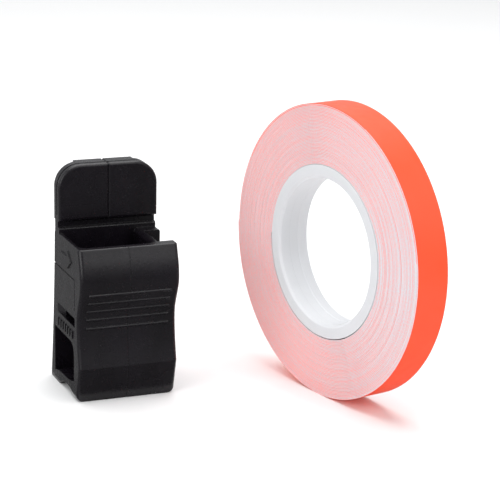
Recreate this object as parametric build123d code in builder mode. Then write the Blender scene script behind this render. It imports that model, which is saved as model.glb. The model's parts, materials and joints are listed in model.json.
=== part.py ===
"""Rim-stripe tape applicator with its roll of tape, as two loose pieces standing side by side.

Millimetres, +Z up. The origin is on the resting surface, at the middle of the pair's box.
The applicator is one black moulding: a grip body with a thumb tab on a thin neck. Its mould
halves meet at its middle plane and part sideways, along X.
The roll is a plastic core with a colour film and its release liner wound on it together.
"""
import os
from math import cos, pi, radians, sin

from build123d import *

# ---- tape roll -------------------------------------------------------------------------
roll_radius = 28.0
roll_width = 6.9
core_radius = 16.5
bore_radius = 14.0
core_chamfer = 0.4
liner_thickness = 0.12
film_thickness = 0.11
winding_turns = 43
roll_yaw = 13.0              # degrees from +X to the roll's axis

# ---- applicator: grip body -------------------------------------------------------------
body_width = 19.2
deck_height = 29.7
toe_depth = 0.6              # depths run back from the applicator's front line
crease_height = 6.9          # lower swell of the front face, with a sharp crease
crease_depth = -1.2
waist_height = 15.5          # hollow of the front face, where the finger ribs are
waist_depth = 0.0
bulge_height = 23.5          # upper swell of the front face
bulge_depth = -2.3
lip_height = 34.2            # next turn of the front curve, above the deck
lip_depth = 0.2
front_edge_round = 0.8
toe_round_left = 1.3
toe_round_right = 1.6

back_top = (15.0, deck_height)
back_middle = (15.9, 15.5)
back_bottom = (17.7, 0.5)
foot_round = 0.4
arch_front = 1.5
arch_back = 12.2
arch_rise = 1.6

passage_front = 2.5
passage_back = 15.2
passage_top = 10.9
passage_sill = 3.6           # height of the passage's floor at its front
passage_floor = 2.6
passage_drip = 1.8           # height of the passage's floor at its back
passage_round = 2.2
slot_front = 1.9
slot_back = 10.4
slot_lead = 2.8              # length of the ramp that leads into the slot's back end
slot_lead_depth = 0.8
slot_bottom = 14.2
slot_height = 1.8

wall_front = 1.5             # back face of the front wall
wall_left = 1.3
pocket_right = 5.2
pocket_depth = 10.5
pocket_round = 1.0
notch_left = 6.3
notch_back = 9.6
deck_round = 0.35
rim_round = 0.9

# ---- applicator: thumb tab -------------------------------------------------------------
ledge_front = 12.2
ledge_height = 30.7
ledge_chamfer = 0.25
neck_half_width = 9.55
neck_hollow = 0.8            # from the ledge's front edge back to the neck
neck_step = 31.7             # height where the neck turns forward to the tab
tab_half_width = 9.7
tab_front = 11.6
tab_back = 14.9
tab_bottom = 32.1
tab_top = 42.8
tab_corner = 4.4
tab_foot_corner = 0.5
tab_edge_round = 0.5
rim_groove_front = 12.8
rim_groove_width = 0.5
rim_groove_depth = 0.3
spine_half_width = 5.7
spine_back = 16.0
spine_bottom = 12.0
spine_root = 14.2            # where the spine starts, inside the tab's plate

# ---- applicator: surface details -------------------------------------------------------
rib_count = 5
rib_pitch = 1.7
rib_lowest = 14.35
rib_half_length = 8.0
rib_radius = 0.3
rib_proud = 0.25
seam_width = 0.2
seam_depth = 0.1
tab_seam_width = 0.5
line_top = 23.5              # engraved line on the left side, above the slot
line_bottom = 17.5
line_front = 1.9
line_width = 0.25
line_depth = 0.2
mark_height = 0.2
arrow_centre = (7.4, 26.2)   # raised arrow on the left side: depth, height
arrow_size = 3.4
bar_count = 7
bar_pitch = 1.5
bar_width = 0.7
bar_height = 1.5
bar_bottom = 11.7
bar_first = 3.6

# ---- where the two pieces stand --------------------------------------------------------
roll_spacing = 38.7          # from the applicator's middle plane to the roll's centre
yaw = radians(roll_yaw)
roll_half_x = roll_radius * sin(yaw) + roll_width / 2 * cos(yaw)
applicator_x = (body_width / 2 + mark_height - roll_spacing - roll_half_x) / 2
applicator_y = 8.2
roll_x = applicator_x + roll_spacing

side_view = Plane((applicator_x, applicator_y, 0), x_dir=(0, 1, 0), z_dir=(1, 0, 0))
front_view = Plane((applicator_x, applicator_y, 0), x_dir=(1, 0, 0), z_dir=(0, -1, 0))
top_view = Plane((applicator_x, applicator_y, 0))
roll_axis = (cos(yaw), sin(yaw), 0)
roll_view = Plane((roll_x, 0, roll_radius), x_dir=(-sin(yaw), cos(yaw), 0), z_dir=roll_axis)


def ease(z, low, high):
    """Half a cosine wave between two (height, depth) turning points."""
    share = (1 - cos(pi * (z - low[0]) / (high[0] - low[0]))) / 2
    return low[1] + (high[1] - low[1]) * share


def front_depth(z):
    """Depth of the applicator's front face at height z."""
    if z <= crease_height:
        return toe_depth + (crease_depth - toe_depth) * z / crease_height
    if z <= waist_height:
        share = sin(pi / 2 * (z - crease_height) / (waist_height - crease_height))
        return crease_depth + (waist_depth - crease_depth) * share
    if z <= bulge_height:
        return ease(z, (waist_height, waist_depth), (bulge_height, bulge_depth))
    return ease(z, (bulge_height, bulge_depth), (lip_height, lip_depth))


def front_curve(low, high, inset=0.0):
    """Points up the front face from height low to height high, set back by inset."""
    steps = max(2, round((high - low) / 1.6))
    heights = [low + (high - low) * i / steps for i in range(steps + 1)]
    return [(front_depth(z) + inset, z) for z in heights]


# ---- applicator body -------------------------------------------------------------------
with BuildPart() as applicator_body:
    # Side outline: swelling front, flat deck, leaning back, round foot, arched underside.
    with BuildSketch(side_view):
        with BuildLine():
            Line((toe_depth, 0), (crease_depth, crease_height))
            Spline(*front_curve(crease_height, deck_height))
            Line((front_depth(deck_height), deck_height), back_top)
            ThreePointArc(back_top, back_middle, back_bottom)
            TangentArc(back_bottom, (back_bottom[0] - foot_round, 0), tangent=(0.12, -1))
            Line((back_bottom[0] - foot_round, 0), (arch_back, 0))
            ThreePointArc((arch_back, 0), ((arch_back + arch_front) / 2, arch_rise), (arch_front, 0))
            Line((arch_front, 0), (toe_depth, 0))
        make_face()
    extrude(amount=body_width / 2, both=True)

    # Rounded edges up both sides of the front, then rounded corners at the toe.
    front_edges = applicator_body.edges().filter_by(
        lambda e: e.center().Y < applicator_y and abs(e.center().X - applicator_x) > body_width / 2 - 0.01
    )
    fillet(front_edges, radius=front_edge_round)
    with BuildSketch(front_view.offset(-arch_back / 2)):
        for side, radius in ((-1, toe_round_left), (1, toe_round_right)):
            with BuildLine():
                corner = (side * body_width / 2, 0)
                above = (side * body_width / 2, radius)
                inside = (side * (body_width / 2 - radius), 0)
                chord_rise = radius * (1 - sin(pi / 4))
                Polyline(inside, corner, above)
                ThreePointArc(above, (side * (body_width / 2 - chord_rise), chord_rise), inside)
            make_face()
    extrude(amount=arch_back / 2 - 2 * bulge_depth, mode=Mode.SUBTRACT)

    # Softened deck edges, then the pocket, walled on all sides, with a softened rim.
    deck_edges = applicator_body.faces().sort_by(Axis.Z)[-1].edges()
    fillet(deck_edges.sort_by(Axis.Y)[:-1], radius=deck_round)
    with BuildSketch(top_view.offset(deck_height)):
        pocket_left = wall_left - body_width / 2
        pocket_back = ledge_front + pocket_round
        with Locations(((pocket_left + pocket_right) / 2, (wall_front + pocket_back) / 2)):
            RectangleRounded(pocket_right - pocket_left, pocket_back - wall_front, pocket_round)
    extrude(amount=-pocket_depth, mode=Mode.SUBTRACT)
    pocket_rim = applicator_body.faces().sort_by(Axis.Z)[-1].inner_wires()[0].edges()
    fillet(pocket_rim, radius=rim_round)

    # Flat back wall of the pocket, rising into a ledge and the tab's thin neck.
    with BuildSketch(side_view):
        with BuildLine():
            wall_foot = deck_height - pocket_depth - 0.5
            Polyline(
                (ledge_front, wall_foot),
                (ledge_front, ledge_height - ledge_chamfer),
                (ledge_front + ledge_chamfer, ledge_height),
                (ledge_front + neck_hollow, ledge_height),
                (ledge_front + neck_hollow, neck_step),
                (tab_front + tab_edge_round, tab_bottom + tab_edge_round),
                (tab_back, tab_bottom + tab_edge_round),
                (tab_back, wall_foot),
                (ledge_front, wall_foot),
            )
        make_face()
    extrude(amount=neck_half_width, both=True)

    # Thumb tab: a plate with large upper corners.
    with BuildSketch(front_view.offset(-tab_back)):
        with Locations((0, (tab_bottom + tab_top) / 2)):
            plate = Rectangle(2 * tab_half_width, tab_top - tab_bottom)
        fillet(plate.vertices().group_by(Axis.Y)[-1], radius=tab_corner)
        fillet(plate.vertices().group_by(Axis.Y)[0], radius=tab_foot_corner)
    extrude(amount=tab_back - tab_front)

    plate_faces = applicator_body.faces().filter_by(Axis.Y).filter_by(
        lambda f: f.center().Z > tab_bottom
    )
    fillet(plate_faces.sort_by(Axis.Y)[0].edges(), radius=tab_edge_round)

    # Groove round the plate's rim, halfway through its thickness, on the sides and the top.
    with BuildSketch(front_view.offset(-rim_groove_front - rim_groove_width)):
        with Locations((0, tab_top)):
            Rectangle(2 * tab_half_width + 2, 2 * (tab_top - tab_bottom - 1))
        with Locations((0, tab_bottom)):
            RectangleRounded(
                2 * (tab_half_width - rim_groove_depth),
                2 * (tab_top - tab_bottom - rim_groove_depth),
                tab_corner - rim_groove_depth,
                mode=Mode.SUBTRACT,
            )
    extrude(amount=rim_groove_width, mode=Mode.SUBTRACT)

    # Stiffening spine up the back of the tab.
    with BuildSketch(front_view.offset(-spine_back)):
        with Locations((0, (spine_bottom + tab_top) / 2)):
            Rectangle(2 * spine_half_width, tab_top - spine_bottom)
    extrude(amount=spine_back - spine_root)

    # Open notch beside the pocket, down the right side to the slot's floor.
    with BuildSketch(top_view.offset(ledge_height)):
        with Locations(((notch_left + body_width / 2 + 1) / 2, (wall_front + notch_back) / 2)):
            Rectangle(body_width / 2 + 1 - notch_left, notch_back - wall_front)
    extrude(amount=slot_bottom - ledge_height, mode=Mode.SUBTRACT)

    # Tape slot and lower passage, both right through from side to side.
    with BuildSketch(side_view):
        with Locations(((slot_front + slot_back) / 2, slot_bottom + slot_height / 2)):
            Rectangle(slot_back - slot_front, slot_height)
    extrude(amount=body_width, both=True, mode=Mode.SUBTRACT)
    with BuildSketch(top_view.offset(slot_bottom)):
        with BuildLine():
            Polyline(
                (-body_width / 2, slot_back),
                (slot_lead_depth - body_width / 2, slot_back),
                (-body_width / 2, slot_back + slot_lead),
                (-body_width / 2, slot_back),
            )
        make_face()
    extrude(amount=slot_height, mode=Mode.SUBTRACT)
    with BuildSketch(side_view):
        with BuildLine():
            shoulder = (passage_front, passage_top - passage_round)
            Line((passage_front, passage_sill), shoulder)
            TangentArc(shoulder, (passage_front + passage_round, passage_top), tangent=(0, 1))
            Line((passage_front + passage_round, passage_top), (passage_back, passage_top))
            Line((passage_back, passage_top), (passage_back, passage_drip))
            Spline(
                (passage_back, passage_drip),
                (10.6, passage_floor),
                (7.6, passage_floor + 0.1),
                (passage_front, passage_sill),
            )
        make_face()
    extrude(amount=body_width, both=True, mode=Mode.SUBTRACT)

    # Engraved line on the left side: up from the slot, then back along the body.
    with BuildSketch(side_view.offset(-body_width / 2)):
        with Locations((line_front + line_width / 2, (line_bottom + line_top) / 2)):
            Rectangle(line_width, line_top - line_bottom)
        with Locations(((line_front + back_bottom[0]) / 2, line_top - line_width / 2)):
            Rectangle(back_bottom[0] - line_front, line_width)
    extrude(amount=line_depth, mode=Mode.SUBTRACT)

    # Mould parting line: a fine groove down the front and a bolder one over the tab.
    with BuildSketch(side_view):
        with BuildLine():
            seam_foot = (crease_depth + seam_depth, crease_height)
            Line((toe_depth + seam_depth, 0), seam_foot)
            Spline(*front_curve(crease_height, deck_height, seam_depth))
            Polyline(
                (front_depth(deck_height) + seam_depth, deck_height),
                (2 * bulge_depth, deck_height),
                (2 * bulge_depth, 0),
                (toe_depth + seam_depth, 0),
            )
        make_face()
    extrude(amount=seam_width / 2, both=True, mode=Mode.SUBTRACT)
    with BuildSketch(top_view.offset(tab_bottom)):
        with Locations((0, tab_front)):
            RegularPolygon(tab_seam_width / 2, 4)
    extrude(amount=tab_top - tab_bottom, mode=Mode.SUBTRACT)
    with BuildSketch(front_view.offset(-spine_back)):
        with Locations((0, tab_top)):
            RegularPolygon(tab_seam_width / 2, 4)
    extrude(amount=spine_back - tab_front, mode=Mode.SUBTRACT)

    # Finger ribs across the waist.
    for i in range(rib_count):
        rib_z = rib_lowest + i * rib_pitch
        with BuildSketch(side_view):
            with Locations((front_depth(rib_z) + rib_radius - rib_proud, rib_z)):
                Circle(rib_radius)
        extrude(amount=rib_half_length, both=True)

    # Raised marks on the left side: a feed arrow above the line, and plain bars.
    with BuildSketch(side_view.offset(-body_width / 2 - mark_height)):
        with Locations(arrow_centre):
            Polygon(
                (-arrow_size, 0),
                (-arrow_size / 3, arrow_size / 2),
                (-arrow_size / 3, arrow_size / 6),
                (arrow_size, arrow_size / 6),
                (arrow_size, -arrow_size / 6),
                (-arrow_size / 3, -arrow_size / 6),
                (-arrow_size / 3, -arrow_size / 2),
                align=None,
            )
        for i in range(bar_count):
            with Locations((bar_first + i * bar_pitch, bar_bottom + bar_height / 2)):
                Rectangle(bar_width, bar_height)
    extrude(amount=2 * mark_height)

# ---- tape roll -------------------------------------------------------------------------
with BuildPart() as tape_core:
    with BuildSketch(roll_view.offset(-roll_width / 2)):
        Circle(core_radius)
        Circle(bore_radius, mode=Mode.SUBTRACT)
    extrude(amount=roll_width)
    bore_rims = tape_core.edges().filter_by(GeomType.CIRCLE).filter_by(
        lambda e: abs(e.radius - bore_radius) < 0.01
    )
    chamfer(bore_rims, length=core_chamfer)

# The outermost turn is widest where it meets the resting surface.
winding_pitch = (roll_radius - core_radius) / (winding_turns + 0.75)
winding_gap = (winding_pitch - liner_thickness - film_thickness) / 2


def winding_arcs(lift):
    """Half-turn arcs of a two-centre spiral, from the core outwards, on a bed raised by lift."""
    arcs = []
    for i in range(2 * winding_turns):
        side = 1 if i % 2 == 0 else -1
        centre = -side * winding_pitch / 4
        radius = core_radius + winding_gap + (i + 0.5) * winding_pitch / 2 + lift
        arcs.append(((centre + side * radius, 0), (centre, side * radius), (centre - side * radius, 0)))
    return arcs


def wound_strip(lift, thickness):
    """One layer of the tape, wound from the core outwards."""
    with BuildPart() as strip:
        with BuildSketch(roll_view.offset(-roll_width / 2)):
            with BuildLine():
                bed = winding_arcs(lift)
                face = winding_arcs(lift + thickness)
                for arc in bed + face:
                    ThreePointArc(*arc)
                Line(bed[0][0], face[0][0])
                Line(bed[-1][2], face[-1][2])
            make_face()
        extrude(amount=roll_width)
    return strip.part


release_liner = wound_strip(0, liner_thickness)
colour_film = wound_strip(liner_thickness + winding_gap, film_thickness)

# ---- files -----------------------------------------------------------------------------
applicator_body.part.label = "applicator_body"
tape_core.part.label = "tape_core"
release_liner.label = "release_liner"
colour_film.label = "colour_film"

os.makedirs("parts", exist_ok=True)
export_step(applicator_body.part, "parts/applicator_body.step")
export_step(tape_core.part, "parts/tape_core.step")
export_step(release_liner, "parts/release_liner.step")
export_step(colour_film, "parts/colour_film.step")
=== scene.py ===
"""Looks for the rim-stripe tape applicator and its roll of orange tape, on a plain pale floor."""
import json
from math import cos, pi, radians, sin, tau
from random import Random

import bpy
from mathutils import Matrix, Vector


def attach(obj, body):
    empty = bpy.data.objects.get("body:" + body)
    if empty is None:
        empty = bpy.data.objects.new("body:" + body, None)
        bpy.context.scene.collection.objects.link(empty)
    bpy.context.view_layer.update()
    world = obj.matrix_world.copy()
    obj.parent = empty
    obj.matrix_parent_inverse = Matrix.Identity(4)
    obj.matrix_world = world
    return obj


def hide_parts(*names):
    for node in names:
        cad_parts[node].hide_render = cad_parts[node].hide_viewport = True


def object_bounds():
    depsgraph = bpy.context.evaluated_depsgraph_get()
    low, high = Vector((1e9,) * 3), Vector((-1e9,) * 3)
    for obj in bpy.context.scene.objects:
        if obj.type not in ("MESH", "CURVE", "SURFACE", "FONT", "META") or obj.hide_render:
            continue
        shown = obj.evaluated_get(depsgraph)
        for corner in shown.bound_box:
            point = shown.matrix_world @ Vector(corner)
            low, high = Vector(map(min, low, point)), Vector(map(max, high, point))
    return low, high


MM = 0.001
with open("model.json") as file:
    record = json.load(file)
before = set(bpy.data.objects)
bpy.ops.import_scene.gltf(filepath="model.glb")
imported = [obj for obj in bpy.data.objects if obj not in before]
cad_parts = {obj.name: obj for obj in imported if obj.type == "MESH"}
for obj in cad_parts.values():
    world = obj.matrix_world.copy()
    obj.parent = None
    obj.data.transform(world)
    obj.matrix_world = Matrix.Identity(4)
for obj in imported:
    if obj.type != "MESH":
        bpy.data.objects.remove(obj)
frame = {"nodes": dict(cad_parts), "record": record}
cad_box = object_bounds()
scene = bpy.context.scene


# ---- node helpers ----------------------------------------------------------------------
class Shader:
    """A material with a Principled shader, and short ways to add nodes to it."""

    def __init__(self, name):
        self.material = bpy.data.materials.new(name)
        self.material.use_nodes = True
        self.tree = self.material.node_tree
        self.principled = self.tree.nodes["Principled BSDF"]
        self.place = self.add("ShaderNodeTexCoord").outputs["Object"]

    def add(self, kind, **values):
        node = self.tree.nodes.new(kind)
        for key, value in values.items():
            setattr(node, key, value)
        return node

    def join(self, source, target):
        self.tree.links.new(source, target)

    def feed(self, target, value):
        """A number or colour is set on the socket, and another node's output is linked to it."""
        if isinstance(value, bpy.types.NodeSocket):
            self.join(value, target)
        else:
            target.default_value = value

    def set(self, **values):
        for key, value in values.items():
            self.feed(self.principled.inputs[key.replace("_", " ")], value)

    def scatter(self, weight, radius, scale):
        """Light that soaks in and spreads under the surface."""
        self.set(Subsurface_Weight=weight, Subsurface_Radius=radius, Subsurface_Scale=scale)

    def noise(self, size, detail=2.0, roughness=0.5, stretch=(1, 1, 1)):
        """Noise with features about size across, in metres."""
        scaled = self.add("ShaderNodeVectorMath", operation="MULTIPLY")
        self.join(self.place, scaled.inputs[0])
        scaled.inputs[1].default_value = [s / size for s in stretch]
        node = self.add("ShaderNodeTexNoise")
        self.join(scaled.outputs[0], node.inputs["Vector"])
        node.inputs["Scale"].default_value = 1.0
        node.inputs["Detail"].default_value = detail
        node.inputs["Roughness"].default_value = roughness
        return node.outputs["Fac"]

    def fit(self, value, low, high, to_low, to_high):
        """Value, from low to high, made to run from to_low to to_high."""
        node = self.add("ShaderNodeMapRange")
        self.feed(node.inputs["Value"], value)
        limits = {"From Min": low, "From Max": high, "To Min": to_low, "To Max": to_high}
        for key, number in limits.items():
            node.inputs[key].default_value = number
        return node.outputs["Result"]

    def math(self, operation, a, b=0.0):
        node = self.add("ShaderNodeMath", operation=operation)
        self.feed(node.inputs[0], a)
        self.feed(node.inputs[1], b)
        return node.outputs[0]

    def mix(self, share, a, b):
        """Colour a where share is 0, and b where it is 1."""
        node = self.add("ShaderNodeMix", data_type="RGBA")
        self.feed(node.inputs["Factor"], share)
        self.feed(node.inputs["A"], a)
        self.feed(node.inputs["B"], b)
        return node.outputs["Result"]

    def bump(self, height, depth, strength=1.0, normal=None):
        node = self.add("ShaderNodeBump")
        self.join(height, node.inputs["Height"])
        node.inputs["Distance"].default_value = depth
        node.inputs["Strength"].default_value = strength
        if normal is not None:
            self.join(normal, node.inputs["Normal"])
        return node.outputs["Normal"]

    def soft_edges(self, radius):
        node = self.add("ShaderNodeBevel", samples=4)
        node.inputs["Radius"].default_value = radius
        return node.outputs["Normal"]


def grey(value, tint=(1, 1, 1)):
    return (value * tint[0], value * tint[1], value * tint[2], 1.0)


# ---- materials -------------------------------------------------------------------------
def tone_and_painted_light(s):
    """The winding's uneven tone and its painted light and shade, kept in its mesh, broken up by
    paper fibres.
    """
    tone = s.add("ShaderNodeAttribute", attribute_name="tone_and_painted_light").outputs["Fac"]
    fibre = s.fit(s.noise(0.35 * MM, 3.0, 0.6), 0.3, 0.7, -0.25, 0.25)
    return s.math("ADD", tone, fibre)


def black_plastic():
    """Satin black moulding: spark-eroded texture, faint flow marks and edges made paler in
    patches.
    """
    s = Shader("moulded_black_plastic")
    rounded = s.soft_edges(0.12 * MM)
    normal = s.add("ShaderNodeNewGeometry").outputs["Normal"]
    along = s.add("ShaderNodeVectorMath", operation="DOT_PRODUCT")
    s.join(rounded, along.inputs[0])
    s.join(normal, along.inputs[1])
    edge = s.fit(along.outputs["Value"], 0.99, 0.8, 0.0, 1.0)
    # The base colour is made paler in patches along the edges.
    patch_mask = s.fit(s.noise(0.9 * MM, 3.0), 0.42, 0.68, 0.0, 1.0)
    pale_edge_patches = s.math("MULTIPLY", edge, patch_mask)
    flow = s.noise(6 * MM, 3.0, stretch=(1, 1, 0.35))
    body = s.mix(
        s.fit(flow, 0.3, 0.7, 0.0, 1.0),
        grey(0.0035, (1.1, 0.8, 1.25)),
        grey(0.006, (1.1, 0.85, 1.3)),
    )
    s.set(Base_Color=s.mix(s.math("MULTIPLY", pale_edge_patches, 0.6), body, grey(0.04, (1, 1, 1.05))))
    cloud = s.noise(2.2 * MM, 4.0)
    s.set(Roughness=s.fit(cloud, 0.25, 0.75, 0.22, 0.32))
    s.set(IOR=1.49, Specular_IOR_Level=0.38)
    grain = s.noise(0.16 * MM, 3.0, 0.6)
    pores = s.noise(0.8 * MM, 4.0, 0.65)
    texture = s.bump(grain, 0.016 * MM, 0.8, rounded)
    s.set(Normal=s.bump(pores, 0.04 * MM, 0.6, texture))
    return s.material


def white_plastic(name, value):
    """Milky white polypropylene with a fine turned grain."""
    s = Shader(name)
    tone = s.noise(5 * MM, 3.0)
    cool = (0.98, 0.99, 1.02)
    s.set(Base_Color=s.mix(tone, grey(value - 0.02, cool), grey(value + 0.02, cool)))
    s.set(Roughness=s.fit(s.noise(1.2 * MM, 4.0), 0.3, 0.7, 0.36, 0.5))
    s.set(IOR=1.49)
    s.scatter(0.35, (1.0, 1.0, 1.0), 0.8 * MM)
    s.set(Normal=s.bump(s.noise(0.22 * MM, 2.0), 0.01 * MM, 0.6))
    return s.material


def orange_film():
    """Fluorescent orange film with a soft sheen, faint ripples and slightly scuffed patches."""
    s = Shader("fluorescent_orange_film")
    tone = s.noise(7 * MM, 3.0)
    s.set(Base_Color=s.mix(tone, (1.0, 0.067, 0.016, 1), (1.0, 0.08, 0.024, 1)))
    # The emission is a painted glow, standing in for the film's fluorescence.
    s.set(Emission_Color=(1.0, 0.1, 0.03, 1), Emission_Strength=0.12)
    s.set(Roughness=s.fit(s.noise(2.0 * MM, 4.0), 0.3, 0.7, 0.3, 0.42))
    s.set(IOR=1.47)
    ripple = s.bump(s.noise(3.5 * MM, 2.0), 0.03 * MM, 0.5)
    s.set(Normal=s.bump(s.noise(0.12 * MM, 2.0), 0.004 * MM, 0.6, ripple))
    return s.material


def film_edge():
    """The film's slit edge: carrier and adhesive, with a painted faint glow for the dyed layer's
    light.
    """
    s = Shader("slit_film_edge")
    # Pink to pale by the painted light and shade kept in the mesh; the pale end's red is lowered
    # to offset the orange light the render bounces there.
    s.set(Base_Color=s.mix(tone_and_painted_light(s), (0.92, 0.3, 0.29, 1), (0.71, 0.64, 0.67, 1)))
    # The emission is a painted glow.
    s.set(Emission_Color=(1.0, 0.2, 0.18, 1), Emission_Strength=0.04)
    s.set(Roughness=0.5)
    s.scatter(0.3, (1.0, 0.4, 0.4), 0.2 * MM)
    return s.material


def liner_paper():
    """Silicone-coated white liner, with a painted pink-to-pale tint: light and shade across the
    roll's side.
    """
    s = Shader("coated_liner_paper")
    # Pink to pale by the painted light and shade kept in the mesh; the pale end's red is lowered
    # to offset the orange light the render bounces there.
    s.set(Base_Color=s.mix(tone_and_painted_light(s), (0.87, 0.6, 0.6, 1), (0.64, 0.75, 0.8, 1)))
    s.set(Roughness=0.55)
    s.scatter(0.4, (1.0, 0.45, 0.4), 0.3 * MM)
    s.set(Normal=s.bump(s.noise(0.1 * MM, 2.0), 0.006 * MM, 0.7))
    return s.material


def floor_paint():
    s = Shader("pale_floor")
    tone = s.noise(60 * MM, 2.0)
    s.set(Base_Color=s.mix(tone, grey(0.86), grey(0.88)))
    s.set(Roughness=0.7)
    return s.material


def card_paint(name, value):
    s = Shader(name)
    s.set(Base_Color=grey(value), Roughness=0.8)
    return s.material


def frame_at(x_axis, y_axis, z_axis, origin):
    """The matrix of a frame with these axes and this origin."""
    return Matrix((
        (x_axis.x, y_axis.x, z_axis.x, origin.x),
        (x_axis.y, y_axis.y, z_axis.y, origin.y),
        (x_axis.z, y_axis.z, z_axis.z, origin.z),
        (0, 0, 0, 1),
    ))


# ---- the roll's place, read from the frame ---------------------------------------------
bore = next(m for m in frame["record"]["mounts"] if m["name"] == "core_bore")
roll_centre = Vector(bore["pos_m"])
roll_axis = Vector(bore["axis"]).normalized()
roll_up = Vector((0, 0, 1))
roll_across = roll_up.cross(roll_axis)
to_world = frame_at(roll_across, roll_up, roll_axis, roll_centre)
core_points = [to_world.inverted() @ v.co for v in frame["nodes"]["tape_core"].data.vertices]
half_width = max(p.z for p in core_points)
core_radius = max(p.xy.length for p in core_points)
bore_radius = min(p.xy.length for p in core_points)
roll_radius = roll_centre.z


def new_piece(name, points, faces, *materials, sharp_angle=radians(30)):
    """A mesh in the row frame from points in the roll's own frame."""
    mesh = bpy.data.meshes.new(name)
    mesh.from_pydata([to_world @ Vector(p) for p in points], [], faces)
    for material in materials:
        mesh.materials.append(material)
    mesh.shade_smooth()
    mesh.set_sharp_from_angle(angle=sharp_angle)
    mesh.update()
    piece = bpy.data.objects.new(name, mesh)
    scene.collection.objects.link(piece)
    return piece


# ---- wound tape ------------------------------------------------------------------------
TURNS = 43
LINER = 0.12 * MM
CAD_FILM = 0.11 * MM
FILM = 0.10 * MM             # a hair under the CAD film, so that it stays inside the CAD box
PITCH = (roll_radius - core_radius) / (TURNS + 0.75)
GAP = (PITCH - LINER - CAD_FILM) / 2
STEPS = 60                   # per half turn
TRIM = 0.05 * MM             # how much narrower than the core the tape is, at each edge
WANDER = 0.022 * MM          # the tape's sideways stray, in quick steps
DRIFT = 0.024 * MM           # and in slow ones
WANDER_RATE = 5.3            # quick steps per turn
DRIFT_TURNS = 2.3            # turns per slow step
TONE_RATE = 9.2              # changes of tone per turn
SPARE = 8                    # random values beyond the last one read
# The slit edges run from pink, 0, to pale, 1. At the roll's middle the share is PALE_LEAST, plus
# up to PALE_RANDOM by chance. Over one radius it grows by PALE_NEAR towards the near side and by
# PALE_UP upwards, and away from mid height it changes by PALE_OFF_MIDDLE. These changes by
# position are painted light and shade on the roll's side, not the tape's own colour.
PALE_LEAST, PALE_RANDOM = 0.4, 0.28
PALE_NEAR, PALE_UP, PALE_OFF_MIDDLE = 0.28, 0.08, -0.32
# Arcs near the outside, in half turns, where the film's slit edge takes the orange film material:
# a painted orange glint.
ORANGE_GLINT_ARCS = ((2 * TURNS - 1.85, 2 * TURNS - 1.38), (2 * TURNS - 3.85, 2 * TURNS - 3.05))

chance = Random(7)
wander = [chance.uniform(-1, 1) for _ in range(6 * TURNS + SPARE)]
tones = [chance.uniform(0, 1) for _ in range(10 * TURNS + SPARE)]
drift = [chance.uniform(-1, 1) for _ in range(TURNS + SPARE)]


def smooth_pick(values, at):
    """Values read at a place between them, with a cosine ease."""
    i = int(at)
    share = (1 - cos(pi * (at - i))) / 2
    return values[i] + (values[i + 1] - values[i]) * share


def sideways(half_turns):
    """How far the tape has strayed along the axis at that place on the winding."""
    turns = half_turns / 2
    quick = WANDER * smooth_pick(wander, WANDER_RATE * turns)
    slow = DRIFT * smooth_pick(drift, turns / DRIFT_TURNS)
    return quick + slow


def paleness(x, y, tone):
    """The slit edge's share of the pale colour at a point on the roll's side: random tone plus
    painted light and shade.
    """
    across, up = x / roll_radius, y / roll_radius
    # Painted light and shade: paler towards the near side and upwards, pinker away from mid
    # height.
    painted_light_shift = PALE_UP * up + PALE_OFF_MIDDLE * abs(up) - PALE_NEAR * across
    return PALE_LEAST + PALE_RANDOM * tone + painted_light_shift


def wound_strip(name, lift, thickness, *materials):
    """The strip's faces take the first material, and its slit edges the last."""
    points, faces, tone_and_painted_light_values = [], [], []
    count = 2 * TURNS * STEPS
    for n in range(count + 1):
        half_turns = n / STEPS
        i = min(int(half_turns), 2 * TURNS - 1)
        side = 1 if i % 2 == 0 else -1
        centre = -side * PITCH / 4
        radius = core_radius + GAP + (i + 0.5) * PITCH / 2 + lift
        turn = pi * (half_turns - i)
        shift = sideways(half_turns)
        tone = smooth_pick(tones, TONE_RATE * half_turns / 2)
        for r, z in (
            (radius, TRIM - half_width),
            (radius + thickness, TRIM - half_width),
            (radius + thickness, half_width - TRIM),
            (radius, half_width - TRIM),
        ):
            x, y = centre + side * r * cos(turn), side * r * sin(turn)
            points.append((x, y, z + shift))
            tone_and_painted_light_values.append(paleness(x, y, tone))
    for n in range(count):
        a, b = 4 * n, 4 * n + 4
        for k in range(4):
            j = (k + 1) % 4
            faces.append((a + k, a + j, b + j, b + k))
    faces.append((3, 2, 1, 0))
    faces.append(tuple(4 * count + k for k in range(4)))
    piece = new_piece(name, points, faces, *materials)
    # This attribute holds random tone plus painted light and shade across the roll's side.
    tone_and_painted_light_layer = piece.data.attributes.new("tone_and_painted_light", "FLOAT", "POINT")
    tone_and_painted_light_layer.data.foreach_set("value", tone_and_painted_light_values)
    for n, face in enumerate(piece.data.polygons[:-2]):
        # On these arcs the film's slit edges take the orange film: a painted glint.
        orange_glint = any(start < n / 4 / STEPS < end for start, end in ORANGE_GLINT_ARCS)
        face.material_index = (len(materials) - 1) * (n % 4 in (0, 2) and not orange_glint)
    return piece


film = wound_strip("film_winding", LINER + GAP, FILM, orange_film(), film_edge())
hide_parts("colour_film")
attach(film, "roll")
liner = wound_strip("liner_winding", 0, LINER, liner_paper())
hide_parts("release_liner")
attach(liner, "roll")

# ---- core: a turned ring with soft rims and a shallow groove round its bore -------------
EDGE = 0.06 * MM             # radius of the rounded corners
CHAMFER = 0.42 * MM
INSET = 0.01 * MM            # keeps the ring's outside under the winding
GROOVE_TOP = 1.1 * MM        # half widths of the groove, at the bore and at its floor
GROOVE_FLOOR = 1.0 * MM
GROOVE_DEPTH = 0.05 * MM
BORE_MARGIN = 0.1 * MM       # faces this near the bore's radius take the bore's material
RING = 192                   # steps round the ring


def corner(r, z, start, end, steps):
    """A rounded corner about the point (r, z), from angle start to angle end."""
    angles = [start + (end - start) * k / steps for k in range(steps + 1)]
    return [(r + EDGE * cos(angle), z + EDGE * sin(angle)) for angle in angles]


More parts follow.
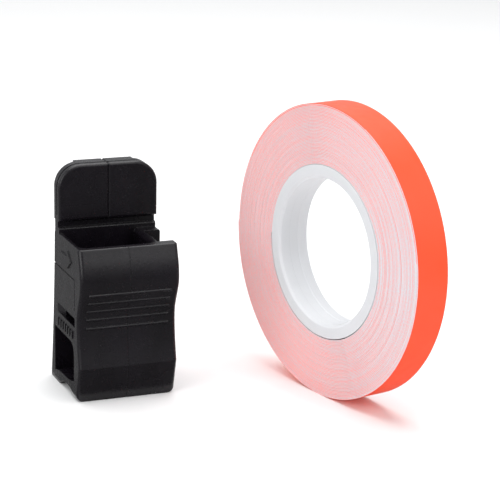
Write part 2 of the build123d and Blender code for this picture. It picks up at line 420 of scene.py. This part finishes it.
outer = core_radius - INSET
half_profile = (
    corner(outer - EDGE, half_width - EDGE, 0, pi / 2, 4)
    + corner(bore_radius + CHAMFER + EDGE * 0.6, half_width - EDGE, pi / 2, pi * 0.75, 3)
    + corner(bore_radius + EDGE, half_width - CHAMFER - EDGE, pi * 0.75, pi, 3)
    + [(bore_radius, GROOVE_TOP), (bore_radius + GROOVE_DEPTH, GROOVE_FLOOR)]
)
profile = half_profile + [(r, -z) for r, z in reversed(half_profile)]
core_verts = [
    (r * cos(tau * k / RING), r * sin(tau * k / RING), z)
    for k in range(RING)
    for r, z in profile
]
size = len(profile)
core_faces = [
    (
        k * size + i,
        (k + 1) % RING * size + i,
        (k + 1) % RING * size + (i + 1) % size,
        k * size + (i + 1) % size,
    )
    for k in range(RING)
    for i in range(size)
]
# The bore takes its own copy of the white plastic, a shade darker: painted shade in the bore.
core = new_piece(
    "core_ring",
    core_verts,
    core_faces,
    white_plastic("milky_white_plastic", 0.67),
    white_plastic("bore_plastic_painted_shade", 0.66),
    sharp_angle=radians(25),
)
for face in core.data.polygons:
    centre = to_world.inverted() @ face.center
    face.material_index = int(centre.xy.length < bore_radius + BORE_MARGIN)
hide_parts("tape_core")
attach(core, "roll")

# ---- applicator ------------------------------------------------------------------------
body = frame["nodes"]["applicator_body"]
body.data.materials.clear()
body.data.materials.append(black_plastic())

# ---- floor, light and camera -----------------------------------------------------------
low, high = cad_box
middle = (low + high) / 2

FLOOR_HALF = 3.0             # metres
CARD_HEIGHT = 0.1 * MM       # just off the floor
NEAR_END = 7.2 * MM          # 1.3 mm behind the applicator's foremost point, under its toe
SIDE_FRONT = 8 * MM          # 2.1 mm behind that point
SIDE_END = -29.2 * MM        # 0.1 mm to the left of the applicator


def flat_square(name, x_low, x_high, y_low, y_high, height, paint):
    """A level sheet with these bounds."""
    corners = [(x_low, y_low), (x_high, y_low), (x_high, y_high), (x_low, y_high)]
    mesh = bpy.data.meshes.new(name)
    mesh.from_pydata([(x, y, height) for x, y in corners], [], [(0, 1, 2, 3)])
    mesh.materials.append(paint)
    piece = bpy.data.objects.new(name, mesh)
    scene.collection.objects.link(piece)
    return piece


def card(name, x_low, x_high, y_low, y_high, paint):
    """A card flat on the floor, which is only seen in reflections."""
    piece = flat_square(name, x_low, x_high, y_low, y_high, CARD_HEIGHT, paint)
    piece.visible_camera = False
    piece.visible_diffuse = False
    piece.visible_shadow = False


floor = flat_square("floor", -FLOOR_HALF, FLOOR_HALF, -FLOOR_HALF, FLOOR_HALF, 0, floor_paint())
card("card_far", -0.5, 0.5, -0.7, -0.1, card_paint("dark_card", 0.05))
card("card_near", -0.3, 0.3, -0.1, NEAR_END, card_paint("near_card", 0.16))
card("card_behind", -0.35, SIDE_END, SIDE_FRONT, 0.5, card_paint("grey_card", 0.15))

world = bpy.data.worlds.new("tent")
scene.world = world
world.use_nodes = True
background = world.node_tree.nodes["Background"]
background.inputs["Color"].default_value = (0.97, 0.985, 1.0, 1)
background.inputs["Strength"].default_value = 0.45


def softbox(name, place, size, watts):
    """A square area light at place, relative to the middle of the object, facing it."""
    data = bpy.data.lights.new(name, "AREA")
    data.shape = "SQUARE"
    data.size = size
    data.energy = watts
    light = bpy.data.objects.new(name, data)
    light.location = middle + Vector(place)
    light.rotation_mode = "QUATERNION"
    light.rotation_quaternion = (-Vector(place)).to_track_quat("-Z", "Y")
    scene.collection.objects.link(light)


softbox("top", place=(0.0, 0.05, 0.6), size=0.7, watts=4.6)
softbox("left", place=(-0.6, -0.2, 0.25), size=0.5, watts=2.1)
softbox("right", place=(0.6, -0.25, 0.35), size=0.5, watts=0.5)
softbox("front", place=(0.22, -0.58, 0.42), size=0.5, watts=1.0)
softbox("back", place=(0.2, 1.0, 0.9), size=0.7, watts=2.4)

# The camera looks at a point near the middle of the object, with a slight lean to one side.
DISTANCE = 0.3518            # metres from that point
AIM = Vector((1.7, -0.16, 1.47)) * MM
azimuth, elevation, lean = radians(21.89), radians(15.343), radians(1.2375)

camera_data = bpy.data.cameras.new("camera")
camera_data.sensor_width = 36
camera_data.lens = 137.5
camera_data.clip_start = 0.01
camera_data.clip_end = 20
camera = bpy.data.objects.new("camera", camera_data)
ahead = Vector((sin(azimuth) * cos(elevation), cos(azimuth) * cos(elevation), -sin(elevation)))
across = Vector((cos(azimuth), -sin(azimuth), 0))
above = across.cross(ahead)
right = cos(lean) * across + sin(lean) * above
upward = cos(lean) * above - sin(lean) * across
camera.matrix_world = frame_at(right, upward, -ahead, middle + AIM - ahead * DISTANCE)
scene.collection.objects.link(camera)
scene.camera = camera
scene.view_settings.view_transform = "Standard"
